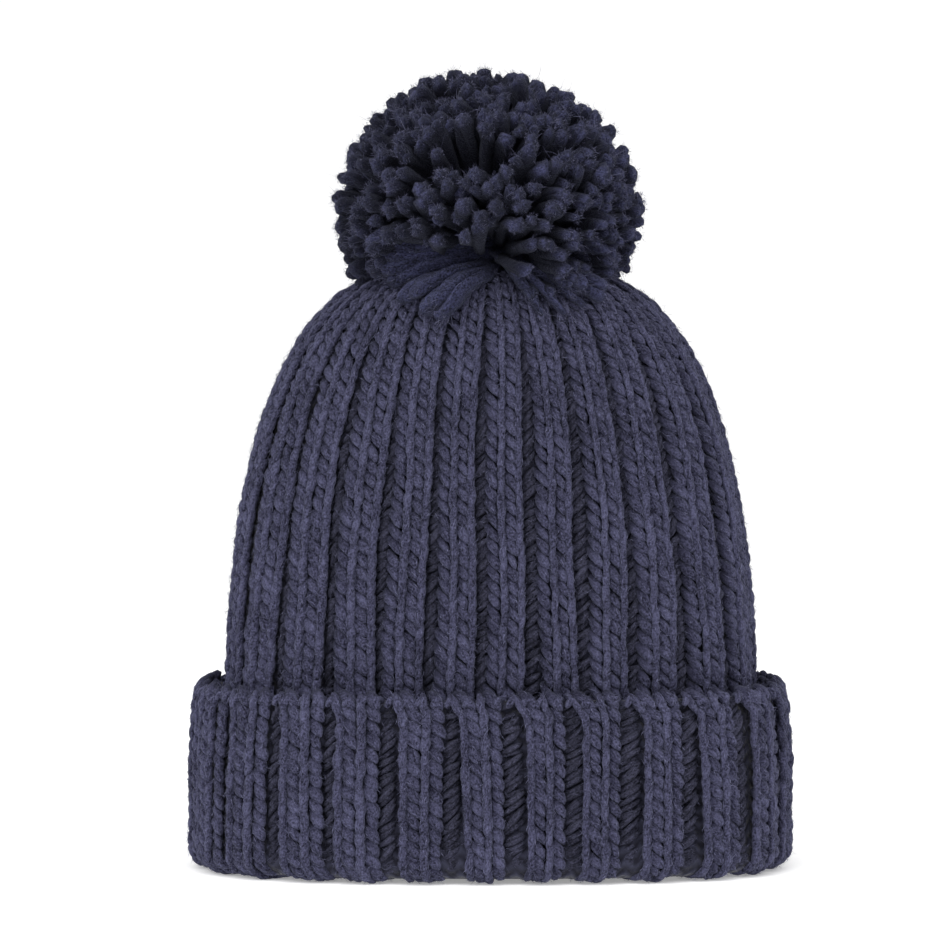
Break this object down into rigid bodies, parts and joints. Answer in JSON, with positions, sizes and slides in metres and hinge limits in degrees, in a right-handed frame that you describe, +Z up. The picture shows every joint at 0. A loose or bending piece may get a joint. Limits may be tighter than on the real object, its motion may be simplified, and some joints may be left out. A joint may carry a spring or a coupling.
{
  "type": "pom pom beanie",
  "caption": "Chunky two-by-two rib knitted beanie with a turned-up cuff and a large yarn pom pom tied to the gathered crown.",
  "frame": {"origin": "middle of the bottom of the bounding box, on the plane that the cuff's fold rests on", "axes": "+Z up through the pom, front of the hat towards -Y, +X to the right of a person looking at the front"},
  "size_m": [0.238, 0.133, 0.316],
  "materials": {
    "knit_yarn": "matte",
    "pom_yarn": "matte",
    "binding_yarn": "matte"
  },
  "bodies": {
    "hat": {"crown_knit": "knit_yarn", "turned_up_cuff": "knit_yarn", "cast_on_edge": "knit_yarn", "crown_gather_yarn": "binding_yarn", "back_seam_yarn": "binding_yarn", "cuff_seam_yarn": "binding_yarn", "anchor_tail_left": "binding_yarn", "anchor_tail_right": "binding_yarn", "anchor_knot": "binding_yarn", "pom_skirt_strands": "pom_yarn"},
    "pom_neck": {"pom_tie_yarn": "pom_yarn", "pom_tie_knot": "pom_yarn", "tie_stem_left": "pom_yarn", "tie_stem_right": "pom_yarn"},
    "pom": {"pom_yarn_ball": "pom_yarn"}
  },
  "joints": [
    {"name": "pom_sway", "type": "hinge", "parent": "hat", "child": "pom_neck", "pos_m": [0, 0, 0.234], "axis": [0, 1, 0], "range_deg": [-10, 10], "stiffness_Nm_per_rad": 0.3},
    {"name": "pom_nod", "type": "hinge", "parent": "pom_neck", "child": "pom", "pos_m": [0, 0, 0.2406], "axis": [1, 0, 0], "range_deg": [-10, 10], "stiffness_Nm_per_rad": 0.3}
  ]
}
